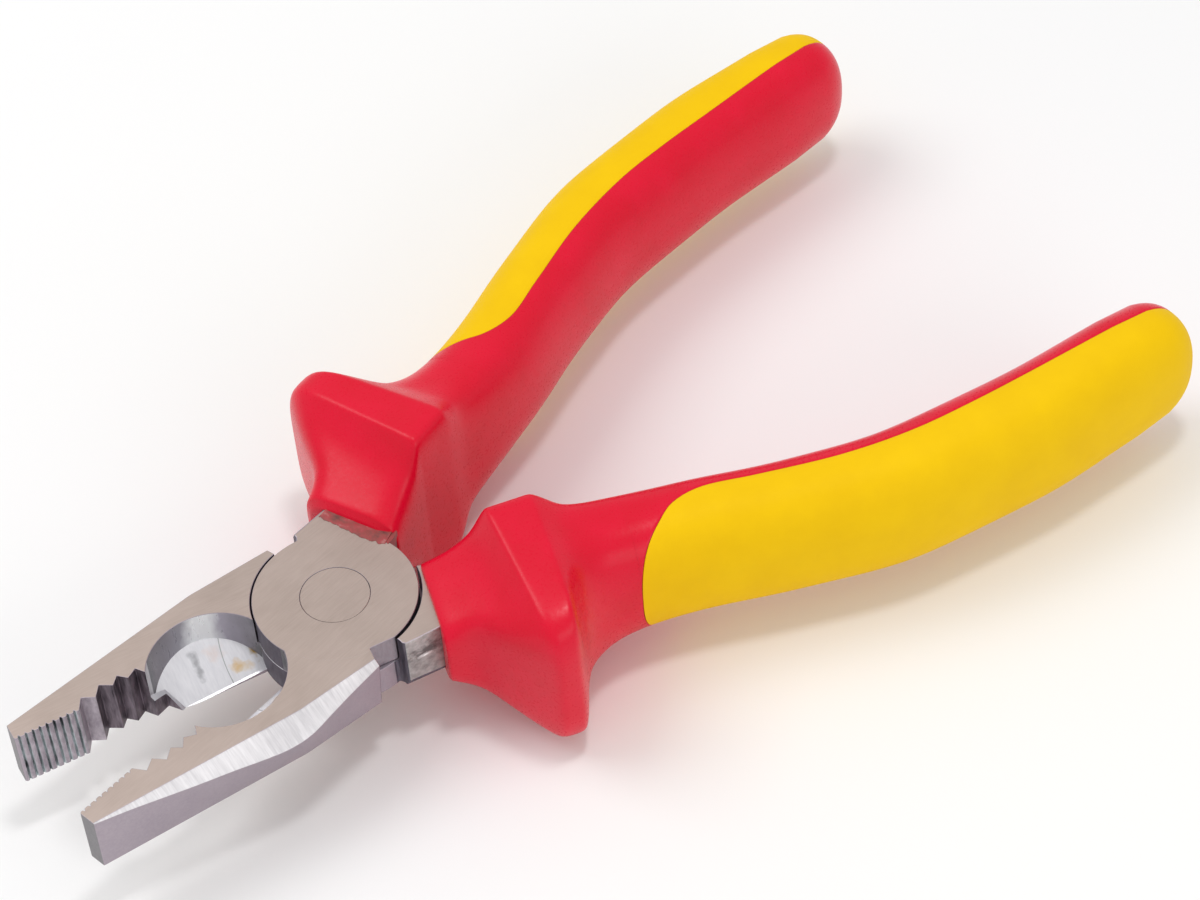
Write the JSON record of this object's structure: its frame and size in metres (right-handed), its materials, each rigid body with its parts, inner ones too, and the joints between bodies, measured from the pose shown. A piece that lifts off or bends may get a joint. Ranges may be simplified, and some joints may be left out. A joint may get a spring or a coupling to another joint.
{
  "type": "lineman pliers",
  "caption": "Insulated combination pliers with serrated jaws, a round grip hollow, side cutters and guarded two-colour handles, lying open.",
  "frame": {"origin": "centre of the tool's bounding box in X and Y, at the plane that the undersides of the hand guards touch", "axes": "+X from the jaws to the handle ends along the centre line of the opening, +Y to the side of the front half's handle, +Z along the rivet to the ground face whose jaws have the cutter hollow"},
  "size_m": [0.1726, 0.0924, 0.0303],
  "materials": {
    "forged_steel": "ground faces, shot-blasted sides",
    "rivet_steel": "ground flush",
    "red_insulation": "satin",
    "yellow_grip": "matte"
  },
  "bodies": {
    "front_half": {"front_plier_half": "forged_steel", "front_insulating_sleeve": "red_insulation", "front_grip_panel": "yellow_grip", "pivot_rivet": "rivet_steel"},
    "rear_half": {"rear_plier_half": "forged_steel", "rear_insulating_sleeve": "red_insulation", "rear_grip_panel": "yellow_grip"}
  },
  "joints": [
    {"name": "pivot", "type": "hinge", "parent": "front_half", "child": "rear_half", "pos_m": [-0.03839, 0, 0.01514], "axis": [0, 0, -1], "range_deg": [-18.8, 17.5]}
  ]
}
